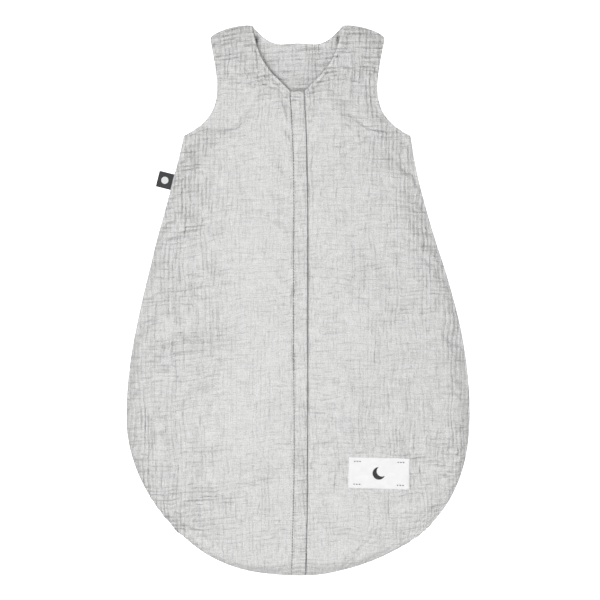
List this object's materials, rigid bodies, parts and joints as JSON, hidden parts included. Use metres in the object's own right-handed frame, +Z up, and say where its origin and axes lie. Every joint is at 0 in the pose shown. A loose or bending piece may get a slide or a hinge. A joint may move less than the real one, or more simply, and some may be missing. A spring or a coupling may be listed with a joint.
{
  "type": "baby sleeping bag",
  "caption": "Sleeveless lined muslin baby sleeping bag, lying flat, with a V neck and a covered front zip whose slider runs and whose front halves fold open.",
  "frame": {"origin": "on the floor plane under the middle of the bag's width and length", "axes": "the bag lies on its back; +Z up through the front, +Y towards the neck, +X to the right as seen from above"},
  "size_m": [0.4386, 0.7, 0.0252],
  "materials": {
    "muslin_outer": "crinkled double-gauze cotton muslin, light grey, matt",
    "muslin_lining": "plain cotton gauze lining, light grey, matt",
    "woven_label": "flat woven satin label, off white, slight sheen",
    "side_tag": "folded woven ribbon, charcoal, matt",
    "zip_tape": "woven polyester zip tape, grey, matt",
    "zip_teeth": "moulded plastic zip teeth, grey, satin",
    "zip_metal": "nickel-plated die-cast zip slider and pull, satin"
  },
  "bodies": {
    "root": {"back_panel_outer": "muslin_outer", "back_panel_lining": "muslin_lining", "front_panel_left_outer": "muslin_outer", "front_panel_left_lining": "muslin_lining", "front_panel_right_outer": "muslin_outer", "front_panel_right_lining": "muslin_lining", "front_label": "woven_label", "side_tag": "side_tag", "care_label": "woven_label", "zip_bottom_stop": "zip_teeth"},
    "lapel_left": {"front_lapel_left_outer": "muslin_outer", "front_lapel_left_lining": "muslin_lining", "zip_tape_left": "zip_tape", "zip_teeth_left": "zip_teeth", "zip_top_stop_left": "zip_teeth"},
    "lapel_right": {"front_lapel_right_outer": "muslin_outer", "front_lapel_right_lining": "muslin_lining", "zip_tape_right": "zip_tape", "zip_teeth_right": "zip_teeth", "zip_top_stop_right": "zip_teeth"},
    "placket": {"placket_flap": "muslin_outer"},
    "slider": {"zip_slider_body": "zip_metal"},
    "pull_tab": {"zip_pull_tab": "zip_metal"}
  },
  "joints": [
    {"name": "zip_slide", "type": "slide", "parent": "root", "child": "slider", "axis": [0, -1, 0], "range_m": [0, 0.55]},
    {"name": "lapel_left_fold", "type": "hinge", "parent": "root", "child": "lapel_left", "pos_m": [-0.0165, -0.3215, 0.0229], "axis": [0.0446, -0.999, 0], "range_deg": [0, 125.5]},
    {"name": "lapel_right_fold", "type": "hinge", "parent": "root", "child": "lapel_right", "pos_m": [0.0165, -0.3215, 0.0229], "axis": [0.0446, 0.999, 0], "range_deg": [0, 125.5]},
    {"name": "placket_flap_lift", "type": "hinge", "parent": "lapel_left", "child": "placket", "pos_m": [-0.00885, 0, 0.0245], "axis": [0, 1, 0], "range_deg": [-170, 0]},
    {"name": "pull_tab_swing", "type": "hinge", "parent": "slider", "child": "pull_tab", "pos_m": [0, 0.248, 0.0218], "axis": [-1, 0, 0], "range_deg": [0, 175], "deforming": ["placket_flap"]}
  ],
  "couplings": [
    {"joint": "lapel_left_fold", "follows": "zip_slide", "rad_per_m": 3.9667},
    {"joint": "lapel_right_fold", "follows": "zip_slide", "rad_per_m": 3.9667}
  ]
}
